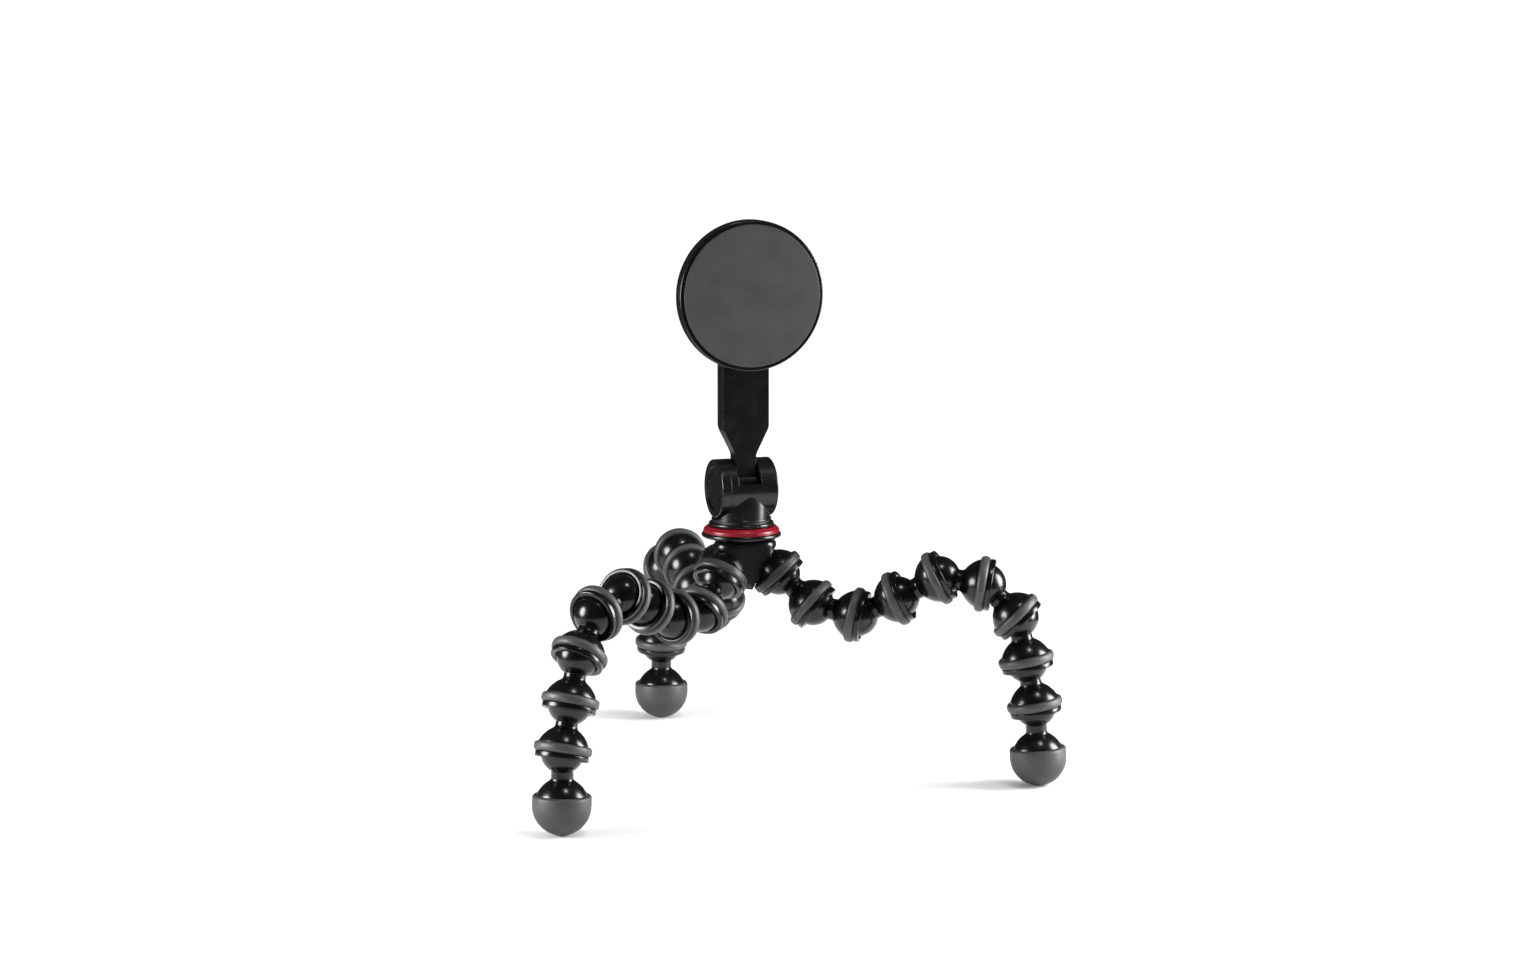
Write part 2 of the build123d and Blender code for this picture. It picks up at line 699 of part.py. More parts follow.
arm_screw_places = [(0, -arm_screw_spacing / 2), (0, arm_screw_spacing / 2)]
with BuildPart() as tilt_arm:
    with BuildSketch(facing_front(arm_front, barrel_centre)) as outline:
        shoulder = arm_shoulder_height + arm_taper_height
        with BuildLine():
            Polyline(
                (-arm_half_width, holder_height),
                (-arm_half_width, shoulder),
                (-lug_half, arm_shoulder_height),
                (-lug_half, 0),
                (lug_half, 0),
                (lug_half, arm_shoulder_height),
                (arm_half_width, shoulder),
                (arm_half_width, holder_height),
            )
            ThreePointArc(
                (arm_half_width, holder_height),
                (0, holder_height + arm_half_width),
                (-arm_half_width, holder_height),
            )
        make_face()
        bends = [(side * arm_half_width, shoulder) for side in (-1, 1)]
        bends = bends + [(side * lug_half, arm_shoulder_height) for side in (-1, 1)]
        fillet([outline.vertices().sort_by_distance(bend)[0] for bend in bends], arm_taper_height / 2)
    extrude(amount=-arm_thickness)
    rear_edges = tilt_arm.faces().sort_by(Axis(barrel_centre, back))[-1].edges()
    rounded = rear_edges.filter_by(lambda e: e.center().Z > barrel_axis_height + arm_shoulder_height)
    fillet(rounded, arm_edge_round)
    with BuildSketch(across_barrel(-lug_half)):
        Circle(lug_radius)
    extrude(amount=lug_width)
    with BuildSketch(across_barrel(-lug_half)):
        Circle(bolt_bore)
    extrude(amount=lug_width, mode=Mode.SUBTRACT)
    with BuildSketch(facing_front(arm_front, holder_centre)):
        with Locations(*arm_screw_places):
            Circle(arm_screw_radius + screw_clearance)
    extrude(amount=-arm_screw_length, mode=Mode.SUBTRACT)
tilt_arm.part.label = "tilt_arm"
export_step(tilt_arm.part, "parts/tilt_arm.step")

# Magnetic holder, from the back shell to the face pad

magnet_inner_radius = magnet_outer_radius - magnet_width
holder_radius = magnet_outer_radius + holder_rim
shell_recess_radius = magnet_inner_radius - holder_rib
pad_radius = magnet_outer_radius - pad_inset
groove_depth = yoke_thickness + magnet_thickness + groove_clearance
shell_front = arm_front + shell_thickness
shell_floor = shell_front - groove_depth
cover_front = shell_front + cover_thickness

with BuildPart() as holder_back_shell:
    with BuildSketch(facing_front(arm_front, holder_centre)):
        Circle(holder_radius)
    extrude(amount=shell_thickness)
    fillet(holder_back_shell.faces().sort_by(Axis(holder_centre, back))[-1].edges(), shell_edge_round)
    with BuildSketch(facing_front(shell_front, holder_centre)):
        Circle(magnet_outer_radius + groove_clearance)
        Circle(magnet_inner_radius - groove_clearance, mode=Mode.SUBTRACT)
        Circle(shell_recess_radius)
    extrude(amount=-groove_depth, mode=Mode.SUBTRACT)
    with Locations(facing_front(shell_floor, holder_centre)):
        with Locations(*arm_screw_places):
            CounterSinkHole(
                arm_screw_radius + screw_clearance, arm_screw_head_radius + screw_clearance, counter_sink_angle=90
            )
holder_back_shell.part.label = "holder_back_shell"
export_step(holder_back_shell.part, "parts/holder_back_shell.step")

with BuildPart() as arm_screws:
    with BuildSketch(facing_front(shell_floor, holder_centre)):
        with Locations(*arm_screw_places):
            Circle(arm_screw_radius)
    extrude(amount=-(shell_floor - arm_front) - arm_screw_length + screw_clearance)
    for place in arm_screw_places:
        with BuildSketch(facing_front(shell_floor, holder_centre)):
            with Locations(place):
                Circle(arm_screw_head_radius)
        extrude(amount=-(arm_screw_head_radius - arm_screw_radius), taper=45)
    with BuildSketch(facing_front(shell_floor, holder_centre)):
        with Locations(*arm_screw_places):
            RegularPolygon(arm_screw_radius, 6)
    extrude(amount=-(arm_screw_head_radius - arm_screw_radius), mode=Mode.SUBTRACT)
arm_screws.part.label = "arm_screws"
export_step(arm_screws.part, "parts/arm_screws.step")

with BuildPart() as yoke_ring:
    with BuildSketch(facing_front(shell_floor, holder_centre)):
        Circle(magnet_outer_radius)
        Circle(magnet_inner_radius, mode=Mode.SUBTRACT)
    extrude(amount=yoke_thickness)
yoke_ring.part.label = "yoke_ring"
export_step(yoke_ring.part, "parts/yoke_ring.step")

with BuildPart() as magnet_segments:
    with BuildSketch(facing_front(shell_floor + yoke_thickness, holder_centre)):
        Circle(magnet_outer_radius)
        Circle(magnet_inner_radius, mode=Mode.SUBTRACT)
        with PolarLocations(magnet_outer_radius, magnet_count):
            Rectangle(2 * (magnet_outer_radius - magnet_inner_radius) + overrun, magnet_gap, mode=Mode.SUBTRACT)
    extrude(amount=magnet_thickness)
magnet_segments.part.label = "magnet_segments"
export_step(magnet_segments.part, "parts/magnet_segments.step")

with BuildPart() as holder_cover:
    with BuildSketch(facing_front(shell_front, holder_centre)):
        Circle(holder_radius)
    extrude(amount=cover_thickness)
    fillet(holder_cover.faces().sort_by(Axis(holder_centre, back))[0].edges(), cover_edge_round)
    with BuildSketch(facing_front(cover_front, holder_centre)):
        Circle(pad_radius + groove_clearance)
    extrude(amount=-pad_recess_depth, mode=Mode.SUBTRACT)
    with BuildSketch(facing_front(shell_front, holder_centre)):
        Circle(shell_recess_radius - groove_clearance)
        Circle(shell_recess_radius - groove_clearance - cover_spigot_wall, mode=Mode.SUBTRACT)
    extrude(amount=-cover_spigot_depth)
holder_cover.part.label = "holder_cover"
export_step(holder_cover.part, "parts/holder_cover.step")

with BuildPart() as face_pad:
    with BuildSketch(facing_front(cover_front - pad_recess_depth, holder_centre)):
        Circle(pad_radius)
    extrude(amount=pad_thickness)
    fillet(face_pad.faces().sort_by(Axis(holder_centre, back))[0].edges(), pad_edge_round)
face_pad.part.label = "face_pad"
export_step(face_pad.part, "parts/face_pad.step")
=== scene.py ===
# %% [markdown]
# # A flexible leg tripod
#
# The tripod stands on three bendable legs. Each leg is a chain of moulded links: a ball on one end,
# a bell-shaped socket on the other, and a rubber ring round the socket that grips whatever the leg
# is wrapped round. This lesson dresses the engineering model, which gives every place and every
# joint, with finer pieces and with materials.
#
# The engineering model could be shown as it is. But a link there is one node with two finishes, the
# glossy core and the dull ring, and rubber looks like rubber only where its crown is paler, from use
# and from a painted highlight.
# So the links and the feet are turned again here at the same sizes, each finish on its own piece.

# %% The engineering model
import json
from math import atan2, cos, degrees, radians, sin, sqrt

import bmesh
import bpy
from mathutils import Matrix, Vector


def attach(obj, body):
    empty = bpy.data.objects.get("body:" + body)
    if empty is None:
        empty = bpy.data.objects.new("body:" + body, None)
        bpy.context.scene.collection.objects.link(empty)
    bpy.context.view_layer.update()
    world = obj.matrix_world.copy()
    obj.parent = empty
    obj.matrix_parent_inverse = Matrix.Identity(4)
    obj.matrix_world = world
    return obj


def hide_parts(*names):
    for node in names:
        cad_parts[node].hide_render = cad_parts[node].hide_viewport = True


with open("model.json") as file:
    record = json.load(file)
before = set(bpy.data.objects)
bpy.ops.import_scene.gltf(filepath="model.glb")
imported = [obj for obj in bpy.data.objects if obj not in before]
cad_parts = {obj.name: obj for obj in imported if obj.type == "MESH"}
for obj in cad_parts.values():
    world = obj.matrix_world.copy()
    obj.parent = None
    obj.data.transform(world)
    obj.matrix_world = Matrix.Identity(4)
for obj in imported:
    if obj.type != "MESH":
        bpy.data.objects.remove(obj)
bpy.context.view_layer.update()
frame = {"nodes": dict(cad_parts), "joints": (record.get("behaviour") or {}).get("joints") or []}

joints = {joint["name"]: joint for joint in frame["joints"]}
legs = ("right", "left", "rear")
balls_per_leg = 9
mm = 0.001

# %% [markdown]
# ## The camera
#
# The photograph looks slightly down at the tripod from about a metre and a half, with little
# perspective, so the lens is long. The camera's place was found from the photograph: from the feet
# on the floor, and from the rings, which are all the same size.

# %% Camera
picture_width = 1525     # pixels
focal_pixels = 4000.0
sensor_width = 36.0
camera_place = Vector((15.7, -1481.0, 327.8)) * mm
camera_pitch = 8.26     # degrees down
camera_turn = 0.3     # degrees to the left

lens = bpy.data.cameras.new("camera")
lens.sensor_width = sensor_width
lens.lens = focal_pixels / picture_width * sensor_width
lens.clip_start, lens.clip_end = 0.05, 50
camera = bpy.data.objects.new("camera", lens)
camera.location = camera_place
camera.rotation_euler = (radians(90 - camera_pitch), 0, radians(camera_turn))
bpy.context.scene.collection.objects.link(camera)
bpy.context.scene.camera = camera
print(f"camera {camera.location.length:.2f} m away, lens {lens.lens:.1f} mm")

# %% [markdown]
# ## Finishes
#
# A finish is a small group of shader nodes. The glossy links have a faint ripple that a steel mould
# leaves and a slightly uneven gloss from handling. The rubber is dull, with a fine grain, and it is
# paler on its crown, where it rubs and where a highlight is painted in. One helper makes the parts
# that all the finishes share, and each finish then sets its own scales, so that no surface is one flat
# colour.
#
# The patterns could be pictures. Noise on the object's own coordinates is used instead, because it
# has no seams and keeps its size on every piece.

# %% A helper for finishes
noise_low, noise_high = 0.3, 0.7     # between these lies most of what a noise texture gives
patch_detail = 4
grain_detail = 3
edge_samples = 4


def new_finish(name, dark, light, patch_size, rough, grain_size, grain_depth, edge=0, **sockets):
    """A material whose colour, roughness and fine relief vary over the surface.

    Patches of one size go from the dark colour and the first roughness to the light colour and the
    second. An edge size softens the sharp edges, and other values go to the shader's own sockets.
    """
    made = bpy.data.materials.new(name)
    made.use_nodes = True
    tree = made.node_tree
    shader = tree.nodes["Principled BSDF"]
    place = tree.nodes.new("ShaderNodeTexCoord")

    patches = tree.nodes.new("ShaderNodeTexNoise")
    patches.inputs["Scale"].default_value = 1 / patch_size
    patches.inputs["Detail"].default_value = patch_detail
    tree.links.new(place.outputs["Object"], patches.inputs["Vector"])

    colours = tree.nodes.new("ShaderNodeValToRGB")
    for stop, position, colour in zip(colours.color_ramp.elements, (noise_low, noise_high), (dark, light)):
        stop.position = position
        stop.color = (*colour, 1)
    tree.links.new(patches.outputs["Fac"], colours.inputs["Fac"])
    tree.links.new(colours.outputs["Color"], shader.inputs["Base Color"])

    gloss = tree.nodes.new("ShaderNodeMapRange")
    gloss.inputs["From Min"].default_value = noise_low
    gloss.inputs["From Max"].default_value = noise_high
    gloss.inputs["To Min"].default_value = rough[0]
    gloss.inputs["To Max"].default_value = rough[1]
    tree.links.new(patches.outputs["Fac"], gloss.inputs["Value"])
    tree.links.new(gloss.outputs["Result"], shader.inputs["Roughness"])

    grain = tree.nodes.new("ShaderNodeTexNoise")
    grain.inputs["Scale"].default_value = 1 / grain_size
    grain.inputs["Detail"].default_value = grain_detail
    relief = tree.nodes.new("ShaderNodeBump")
    relief.inputs["Strength"].default_value = 1
    relief.inputs["Distance"].default_value = grain_depth
    tree.links.new(place.outputs["Object"], grain.inputs["Vector"])
    tree.links.new(grain.outputs["Fac"], relief.inputs["Height"])
    tree.links.new(relief.outputs["Normal"], shader.inputs["Normal"])
    if edge:
        soft_edge = tree.nodes.new("ShaderNodeBevel")
        soft_edge.samples = edge_samples
        soft_edge.inputs["Radius"].default_value = edge
        tree.links.new(soft_edge.outputs["Normal"], relief.inputs["Normal"])

    for socket, value in sockets.items():
        shader.inputs[socket.replace("_", " ")].default_value = value
    print("finish", name)
    return made


# %% A helper for wear and a painted highlight
first_colour, second_colour, mixed_colour = 6, 7, 2     # places of a mix node's colour sockets


def lighten_for_wear_and_highlight(finish, pale_wear_and_highlight, amount):
    """Pales a finish where the piece's own attribute is high: a crown paler from rubbing, with a painted
    highlight on it.
    """
    tree = finish.node_tree
    shader = tree.nodes["Principled BSDF"]
    plain = shader.inputs["Base Color"].links[0].from_socket
    # The attribute holds real wear and a painted highlight: where it is high, the colour is mixed toward the
    # paler one.
    wear_and_highlight = tree.nodes.new("ShaderNodeAttribute")
    wear_and_highlight.attribute_name = "wear_and_highlight"
    share = tree.nodes.new("ShaderNodeMath")
    share.operation = "MULTIPLY"
    share.inputs[1].default_value = amount
    mixed = tree.nodes.new("ShaderNodeMix")
    mixed.data_type = "RGBA"
    tree.links.new(wear_and_highlight.outputs["Fac"], share.inputs[0])
    tree.links.new(share.outputs["Value"], mixed.inputs["Factor"])
    tree.links.new(plain, mixed.inputs[first_colour])
    mixed.inputs[second_colour].default_value = (*pale_wear_and_highlight, 1)
    tree.links.new(mixed.outputs[mixed_colour], shader.inputs["Base Color"])
    print("wear on", finish.name)


# %% Plastics
gloss_black = new_finish(
    "gloss_black", dark=(0.0018, 0.0018, 0.0020), light=(0.0036, 0.0036, 0.0040), patch_size=9 * mm,
    rough=(0.20, 0.26), grain_size=1.1 * mm, grain_depth=0.003 * mm, edge=0.3 * mm, Specular_IOR_Level=0.40,
)
satin_black = new_finish(
    "satin_black", dark=(0.0026, 0.0026, 0.0029), light=(0.0048, 0.0048, 0.0053), patch_size=7 * mm,
    rough=(0.23, 0.29), grain_size=0.35 * mm, grain_depth=0.003 * mm, edge=0.25 * mm, Specular_IOR_Level=0.42,
)
glossy_red = new_finish(
    "glossy_red", dark=(0.16, 0.002, 0.008), light=(0.21, 0.004, 0.011), patch_size=6 * mm,
    rough=(0.24, 0.32), grain_size=1.2 * mm, grain_depth=0.004 * mm,
)
dark_nylon = new_finish(
    "dark_nylon", dark=(0.012, 0.012, 0.013), light=(0.020, 0.020, 0.021), patch_size=3 * mm,
    rough=(0.45, 0.55), grain_size=0.3 * mm, grain_depth=0.008 * mm,
)

# %% Rubber
grip_rubber = new_finish(
    "grip_rubber", dark=(0.014, 0.014, 0.0145), light=(0.022, 0.022, 0.0225), patch_size=4 * mm,
    rough=(0.42, 0.54), grain_size=0.3 * mm, grain_depth=0.010 * mm,
)
foot_rubber = new_finish(
    "foot_rubber", dark=(0.022, 0.022, 0.0225), light=(0.032, 0.032, 0.0325), patch_size=6 * mm,
    rough=(0.46, 0.58), grain_size=0.35 * mm, grain_depth=0.012 * mm,
)
pad_silicone = new_finish(
    "pad_silicone", dark=(0.022, 0.022, 0.023), light=(0.032, 0.032, 0.034), patch_size=8 * mm,
    rough=(0.55, 0.68), grain_size=0.25 * mm, grain_depth=0.010 * mm,
)
# Both rubbers are painted paler toward their crowns: real wear, and a painted highlight along the crown.
lighten_for_wear_and_highlight(grip_rubber, pale_wear_and_highlight=(0.070, 0.070, 0.071), amount=0.55)
lighten_for_wear_and_highlight(foot_rubber, pale_wear_and_highlight=(0.052, 0.052, 0.053), amount=0.4)

# %% Metals
zinc_steel = new_finish(
    "zinc_steel", dark=(0.46, 0.46, 0.47), light=(0.60, 0.60, 0.59), patch_size=3 * mm,
    rough=(0.28, 0.42), grain_size=0.4 * mm, grain_depth=0.004 * mm, Metallic=1,
)
spring_steel = new_finish(
    "spring_steel", dark=(0.22, 0.22, 0.23), light=(0.32, 0.31, 0.30), patch_size=2 * mm,
    rough=(0.30, 0.42), grain_size=0.4 * mm, grain_depth=0.004 * mm, Metallic=1,
)
nickel = new_finish(
    "nickel", dark=(0.58, 0.56, 0.52), light=(0.68, 0.66, 0.62), patch_size=4 * mm,
    rough=(0.12, 0.20), grain_size=0.8 * mm, grain_depth=0.002 * mm, Metallic=1,
)

# %% [markdown]
# ## Turned pieces
#
# Links, rings and feet are all round about one axis. A lathe makes such a piece from the outline of
# its half section: a few corners joined by straight edges, some of them rounded with a bevel, and
# arcs that are a point spun about a centre. Then the whole outline is spun once round.
#
# The outline could also be a list of points worked out in code. The operators keep it short, and it
# reads like the drawing of the part.

# %% The half section
arc_steps = 18
round_steps = 4


def outline(stations, closed=False):
    """A bmesh with the half section.

    A station is a corner, as (radius, height) or (radius, height, rounding), or an arc that goes on
    from the last corner about a centre on the axis, as ("arc", height of the centre, degrees).
    """
    bm = bmesh.new()
    first = tip = None
    rounded = []
    for station in stations:
        if station[0] == "arc":
            _, centre_height, angle = station
            spun = bmesh.ops.spin(
                bm, geom=[tip], cent=(0, 0, centre_height), axis=(0, 1, 0), angle=radians(angle),
                steps=arc_steps,
            )
            tip = next(item for item in spun["geom_last"] if isinstance(item, bmesh.types.BMVert))
            continue
        corner = bm.verts.new((station[0], 0, station[1]))
        if tip:
            bm.edges.new((tip, corner))
        if len(station) > 2:
            rounded.append((corner, station[2]))
        first = first or corner
        tip = corner
    if closed:
        bm.edges.new((tip, first))
    for corner, size in rounded:
        bmesh.ops.bevel(
            bm, geom=[corner], offset=size, segments=round_steps, profile=0.5, affect="VERTICES", material=-1
        )
    return bm


# %% The lathe
turn_steps = 96
merge_distance = 0.0005 * mm
crease_angle = 35


def turn(bm):
    """Spins a half section once round the Z axis and closes it."""
    bmesh.ops.spin(
        bm, geom=bm.verts[:] + bm.edges[:], cent=(0, 0, 0), axis=(0, 0, 1), angle=radians(360),
        steps=turn_steps, use_merge=True,
    )
    bmesh.ops.remove_doubles(bm, verts=bm.verts[:], dist=merge_distance)
    bmesh.ops.recalc_face_normals(bm, faces=bm.faces[:])
    for face in bm.faces:
        face.smooth = True
    for edge in bm.edges:
        edge.smooth = edge.calc_face_angle(0) < radians(crease_angle)


def turned_mesh(name, stations, closed=False):
    """A turned mesh that stands on the Z axis."""
    bm = outline(stations, closed)
    turn(bm)
    mesh = bpy.data.meshes.new(name)
    bm.to_mesh(mesh)
    bm.free()
    print(f"{name}: {len(mesh.polygons)} faces")
    return mesh


# %% Wear and a painted highlight on a crown
def pale_crown(mesh, from_radius, to_radius):
    """Writes how pale each point is painted, for wear and for a painted highlight: 0 at the inner radius, 1
    at the crown. The mesh is on the Z axis.
    """
    wear_and_highlight = mesh.attributes.new("wear_and_highlight", "FLOAT", "POINT")
    for vertex, value in zip(mesh.vertices, wear_and_highlight.data):
        radius = sqrt(vertex.co.x ** 2 + vertex.co.y ** 2)
        value.value = min(1, max(0, (radius - from_radius) / (to_radius - from_radius)))
    print(f"{mesh.name}: paler from {from_radius / mm:.1f} mm out")


# %% Pieces in their places
def place_piece(name, mesh, finish, body, matrix, node=None):
    """A copy of the mesh at this place, riding on a body. It may stand for an engineering node."""
    copy = mesh.copy()
    copy.name = name
    copy.transform(matrix)
    copy.materials.clear()
    copy.materials.append(finish)
    piece = bpy.data.objects.new(name, copy)
    bpy.context.scene.collection.objects.link(piece)
    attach(piece, body)
    if node:
        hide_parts(node)


def stand_along(start, direction):
    """The matrix that moves the Z axis onto this direction and the origin to this start."""
    return Matrix.Translation(start) @ Vector(direction).to_track_quat("Z", "X").to_matrix().to_4x4()


# %% [markdown]
# ## Links
#
# A link's core is one moulding: the ball with a small flat where the mould opened, a short neck that
# flares into the bell, the bell with the next ball's socket inside, and the lip that holds the rubber
# ring. The ring is moulded round the socket afterwards, so it is a piece of its own, with soft
# shoulders and a paler crown.
#
# Each link could be turned where it stands. But all 24 are alike, so the core and the ring are turned
# once, standing on the origin, and copied. Each copy is placed by the two joints at its ends.

# %% Sizes of a link, as radii and as heights along its axis
pitch = (Vector(joints["right_ball_2"]["pos_m"]) - Vector(joints["right_ball_1"]["pos_m"])).length
ball = 7.9 * mm
ball_flat = 3.0 * mm
flat_edge = 1.05 * ball_flat     # where the round of the ball starts, clear of the flat's rounding
flat_round = 0.3 * mm
socket = ball + 0.05 * mm
neck = 4.0 * mm
flare = 0.9 * mm
flare_bend = 1.6 * mm
bell = socket + 1.05 * mm
bell_depth = 8.4 * mm
bell_bulge = 11.0 * mm
lip = bell + 0.7 * mm
lip_back_round = 0.3 * mm
lip_front_round = 0.45 * mm
mouth = 2.8 * mm
mouth_bevel = 0.6 * mm
mouth_round = 0.1 * mm
ring_back = 2.8 * mm
ring_front = 0.8 * mm
ring_crown = bell + 1.45 * mm
ring_shoulder = 1.35 * mm
# how far in from the crown the ring is painted paler, for wear and a painted highlight
ring_wear_and_highlight = 0.85 * mm
bond = 0.02 * mm
print(f"links {pitch / mm:.2f} mm apart")

# %% Heights along a core
core_foot = pitch - bell_depth
ball_top = sqrt(ball ** 2 - neck ** 2)
flat_height = sqrt(ball ** 2 - ball_flat ** 2)
flat_edge_height = sqrt(ball ** 2 - flat_edge ** 2)
mouth_height = pitch + mouth
mouth_edge = mouth - mouth_bevel
mouth_radius = sqrt(socket ** 2 - mouth_edge ** 2)
print(f"a core is {(mouth_height + flat_height) / mm:.1f} mm long")


# %% Arcs of a half section
bulge_steps = 10


def degrees_round(radius, height, centre, to_radius, to_height):
    """How far an arc about (0, centre) turns from one point of its circle to another."""
    return degrees(atan2(to_radius, to_height - centre) - atan2(radius, height - centre))


def bulge(start, end, radius, side=1):
    """Stations along an arc between two corners. It bulges outward, or inward where the side is -1."""
    across = Vector(end) - Vector(start)
    middle = (Vector(start) + Vector(end)) / 2
    outward = Vector((across.y, -across.x)).normalized()
    centre = middle - side * outward * sqrt(radius ** 2 - (across.length / 2) ** 2)
    first = Vector(start) - centre
    turned = first.angle_signed(Vector(end) - centre)
    angles = [-turned * step / bulge_steps for step in range(1, bulge_steps)]
    return [tuple(centre + Matrix.Rotation(angle, 2) @ first) for angle in angles]


# %% Ball, neck and bell
ball_stations = [
    (0, -flat_height),
    (ball_flat, -flat_height, flat_round),
    (flat_edge, -flat_edge_height),
    ("arc", 0, degrees_round(flat_edge, -flat_edge_height, 0, neck, ball_top)),
]


def neck_and_bell(foot, rim):
    """Stations of the neck, its flare and the bell's flank, from the bell's foot to the corner at its rim."""
    flank = bulge((neck, foot), rim, bell_bulge)
    flare_start = (neck, foot - flare)
    return [flare_start, *bulge(flare_start, flank[0], flare_bend, side=-1), *flank, rim]


# %% The core
core_stations = [
    *ball_stations,
    *neck_and_bell(core_foot, (bell, pitch - ring_back)),
    (bell, pitch + ring_front),
    (lip, pitch + ring_front, lip_back_round),
    (lip, mouth_height, lip_front_round),
    (mouth_radius + mouth_bevel, mouth_height, mouth_round),
    (mouth_radius, pitch + mouth_edge),
    ("arc", pitch, degrees_round(mouth_radius, pitch + mouth_edge, pitch, 0, pitch - socket)),
]
core_mesh = turned_mesh("link_core", core_stations)

# %% The grip ring
ring_stations = [
    (bell + bond, pitch - ring_back + bond),
    (ring_crown, pitch - ring_back + bond, ring_shoulder),
    (ring_crown, pitch + ring_front - bond, ring_shoulder),
    (bell + bond, pitch + ring_front - bond),
]
ring_mesh = turned_mesh("link_ring", ring_stations, closed=True)
# The ring's crown is painted paler: wear from rubbing, and a painted highlight.
pale_crown(ring_mesh, ring_crown - ring_wear_and_highlight, ring_crown)

# %% The legs
for leg in legs:
    centres = [Vector(joints[f"{leg}_ball_{number}"]["pos_m"]) for number in range(1, balls_per_leg + 1)]
    for number, (start, end) in enumerate(zip(centres, centres[1:]), start=1):
        place = stand_along(start, end - start)
        body = f"{leg}_link_{number}"
        place_piece(f"{body}_core", core_mesh, gloss_black, body, place, node=body)
        place_piece(f"{body}_ring", ring_mesh, grip_rubber, body, place)
print("legs dressed")

# %% [markdown]
# ## Feet
#
# A foot is a core with a ball and a bell of its own, and a thick round rubber pad moulded over its
# end. The pad is the piece that meets the table, so it is duller and paler than the rings.
#
# A foot has a joint at one end only. Its other end could come from the middle of the pad's box, but
# that box is off centre, because the pad leans and its rim is higher than its round end. The point
# of the pad that is furthest from the joint lies right on the foot's axis, so it gives the direction.

# %% Cores of the feet
foot_ball = 10.6 * mm
foot_reach = 19.3 * mm
foot_rim = 4.0 * mm
foot_rim_round = 1.2 * mm
foot_bell = 9.0 * mm
foot_bell_depth = 9.2 * mm
# how far in from the pad's widest band it is painted paler, for wear and a painted highlight
foot_wear_and_highlight = 0.8 * mm
foot_top = foot_reach - foot_rim

foot_core_stations = [
    *ball_stations,
    *neck_and_bell(foot_reach - foot_bell_depth, (foot_bell, foot_top)),
    (foot_bell, foot_reach),
    ("arc", foot_reach, -90),
]
foot_core_mesh = turned_mesh("foot_core", foot_core_stations)
print(f"feet {2 * foot_ball / mm:.1f} mm across")

# %% Rubber pads of the feet
foot_bore = foot_bell + bond
foot_pad_stations = [
    (foot_bore, foot_top),
    (foot_ball, foot_top, foot_rim_round),
    (foot_ball, foot_reach),
    ("arc", foot_reach, -90),
    (0, foot_reach + foot_bore),
    ("arc", foot_reach, 90),
]
foot_pad_mesh = turned_mesh("foot_pad", foot_pad_stations, closed=True)
# The pad's widest band is painted paler: wear, and a painted highlight along its edges.
pale_crown(foot_pad_mesh, foot_ball - foot_wear_and_highlight, foot_ball)

# %% The feet on their legs
for leg in legs:
    start = Vector(joints[f"{leg}_ball_{balls_per_leg}"]["pos_m"])
    pad_points = [vertex.co for vertex in frame["nodes"][f"{leg}_foot_pad"].data.vertices]
    tip = max(pad_points, key=lambda point: (point - start).length)
    place = stand_along(start, tip - start)
    body = f"{leg}_foot"
    place_piece(
        f"{body}_core_turned", foot_core_mesh, gloss_black, body, place, node=f"{body}_core"
    )
    place_piece(
        f"{body}_pad_turned", foot_pad_mesh, foot_rubber, body, place, node=f"{body}_pad"
    )
print("feet placed")

# %% [markdown]
# ## Pieces that keep their engineering shape
#
# The hub, the head and the holder are not round about one axis. They could be made again as well, but
# their engineering meshes are fine enough, so they stay and only take a finish. Their sharp edges are
# softened in the finish itself, as the edge of a moulding is never quite sharp.

# %% Finishes for the engineering nodes
finish_of = {
    "hub_shell": gloss_black,
    "socket_grip_rings": grip_rubber,
    "mounting_stud": zinc_steel,
    "mounting_plate": gloss_black,
    "plate_screws": zinc_steel,
    "accent_ring": glossy_red,
    "head_base": satin_black,
    "pan_spigot": zinc_steel,
    "pan_snap_ring": spring_steel,
    "pan_washer": dark_nylon,
    "head_body": satin_black,
    "tilt_nut": zinc_steel,
    "barrel_end_cap": satin_black,
    "tilt_lock_knob": satin_black,
    "tilt_bolt": zinc_steel,
    "tilt_arm": satin_black,
    "tilt_washers": dark_nylon,
    "arm_screws": zinc_steel,
    "holder_back_shell": satin_black,
    "yoke_ring": zinc_steel,
    "magnet_segments": nickel,
    "holder_cover": satin_black,
    "face_pad": pad_silicone,
}
for name, finish in finish_of.items():
    mesh = frame["nodes"][name].data
    mesh.materials.clear()
    mesh.materials.append(finish)
print(len(finish_of), "engineering nodes finished")

# %% [markdown]
# ## Floor and light
#
# The photograph was taken on a white sweep between two soft boxes, one on each side, with a small
# lamp high above. Each ball shows three highlights: a tall one from the right, a round one from the
# left and a small bright one from the lamp. A wide soft sun lights the floor so evenly that it is as
# white as the background and its edge doesn't show, and the plastic doesn't mirror this sun. What the
# gloss does mirror, apart from the lights, is the white floor just below it and a dark room all round:
# that is why the floor is a disc no wider than it has to be.

# %% Floor
floor_radius = 0.32
floor_builder = bmesh.new()
bmesh.ops.create_circle(floor_builder, cap_ends=True, segments=turn_steps, radius=floor_radius)
floor_mesh = bpy.data.meshes.new("floor")
floor_builder.to_mesh(floor_mesh)
floor_builder.free()
floor = bpy.data.objects.new("floor", floor_mesh)
bpy.context.scene.collection.objects.link(floor)
paper = new_finish(
    "white_paper", dark=(0.86, 0.86, 0.86), light=(0.88, 0.88, 0.88), patch_size=900 * mm,
    rough=(0.7, 0.8), grain_size=2 * mm, grain_depth=0.002 * mm,
)
floor_mesh.materials.append(paper)
print(f"floor {2 * floor_radius:.2f} m across")


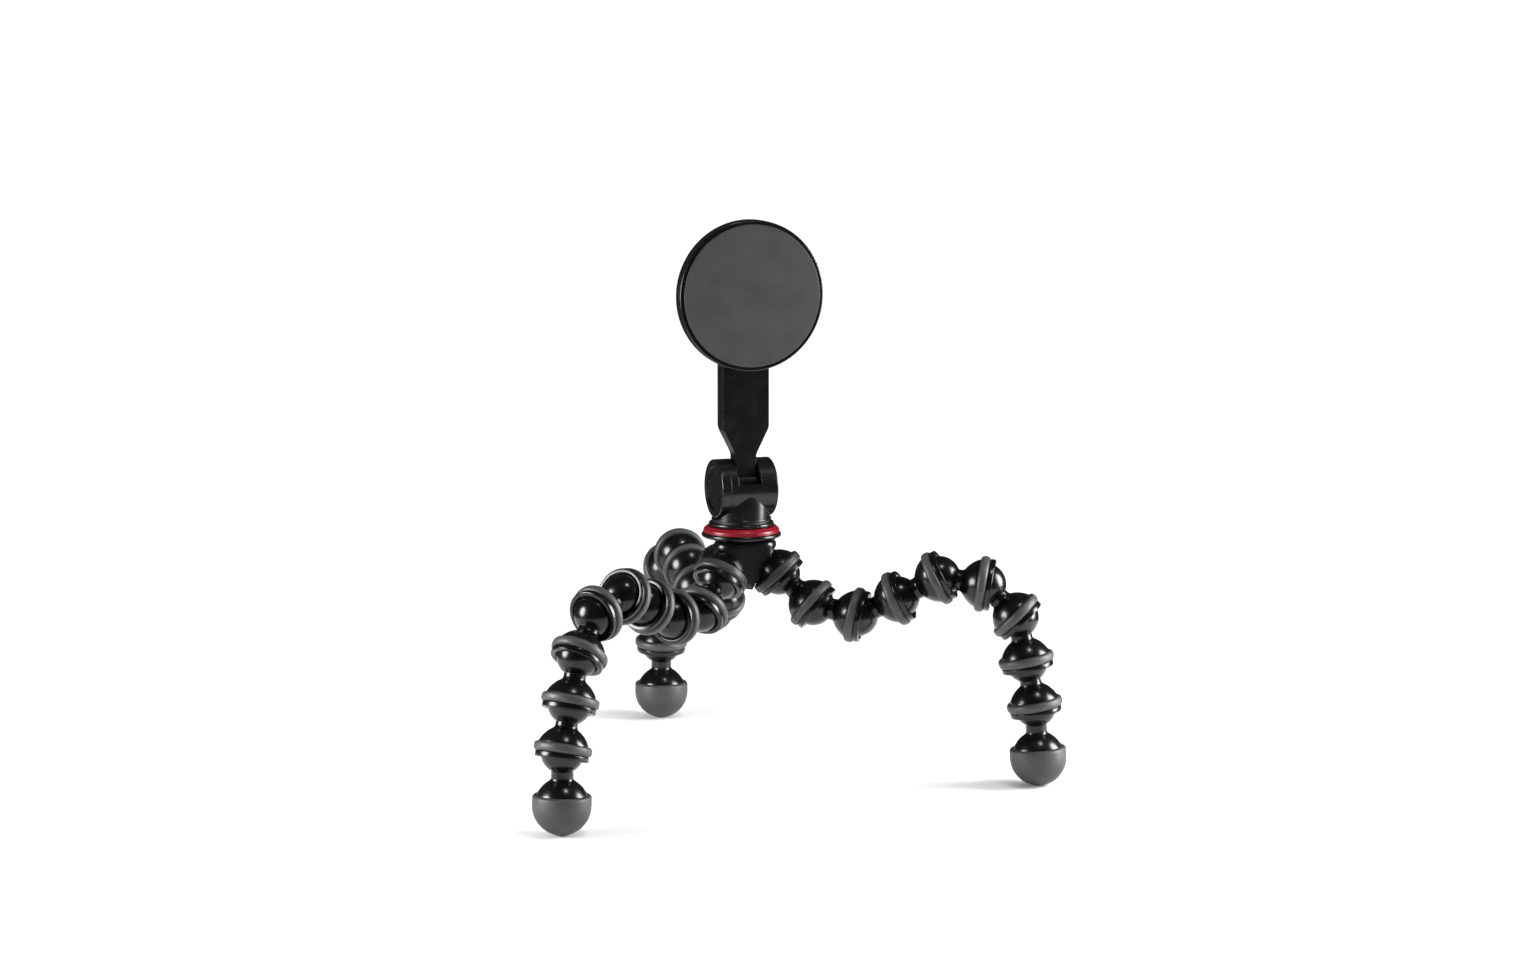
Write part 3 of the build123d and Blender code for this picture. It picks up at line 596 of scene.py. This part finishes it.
# %% Lamps
light_target = Vector((0, 0, 0.06))


def soft_box(name, azimuth, elevation, distance, width, height, power):
    """A round lamp that faces the legs. Azimuth 0 is at the camera, and positive to its right."""
    data = bpy.data.lights.new(name, "AREA")
    data.shape = "ELLIPSE"
    data.size = width
    data.size_y = height
    data.energy = power
    box = bpy.data.objects.new(name, data)
    a, e = radians(azimuth), radians(elevation)
    towards = Vector((sin(a) * cos(e), -cos(a) * cos(e), sin(e)))
    box.location = light_target + towards * distance
    box.rotation_euler = towards.to_track_quat("Z", "Y").to_euler()
    box.visible_camera = False
    bpy.context.scene.collection.objects.link(box)
    print(f"{name}: {power} W, {distance} m away")


soft_box("box_left", azimuth=-70, elevation=13, distance=0.62, width=0.28, height=0.34, power=6.0)
soft_box("box_right", azimuth=90, elevation=15, distance=0.58, width=0.28, height=0.44, power=7.5)
soft_box("lamp_high", azimuth=35, elevation=66, distance=1.2, width=0.14, height=0.14, power=3)

# %% A wide soft sun
daylight = bpy.data.lights.new("daylight", "SUN")
daylight.energy = 1.5
daylight.angle = radians(110)
sun = bpy.data.objects.new("daylight", daylight)
sun.rotation_euler = (radians(-12), radians(8), 0)
sun.visible_glossy = False
bpy.context.scene.collection.objects.link(sun)
print(f"sun {degrees(daylight.angle):.0f} degrees wide")

# %% The room
room_light = 0.05
background_light = 1.12     # a little over white, so that no noise shows in it

world = bpy.data.worlds.new("studio")
bpy.context.scene.world = world
world.use_nodes = True
sky = world.node_tree.nodes["Background"]
sky.inputs["Color"].default_value = (1, 1, 1, 1)
seen = world.node_tree.nodes.new("ShaderNodeLightPath")
sky_strength = world.node_tree.nodes.new("ShaderNodeMapRange")
sky_strength.inputs["To Min"].default_value = room_light
sky_strength.inputs["To Max"].default_value = background_light
world.node_tree.links.new(seen.outputs["Is Camera Ray"], sky_strength.inputs["Value"])
world.node_tree.links.new(sky_strength.outputs["Result"], sky.inputs["Strength"])
bpy.context.scene.view_settings.view_transform = "Standard"
print("dark room, white background")
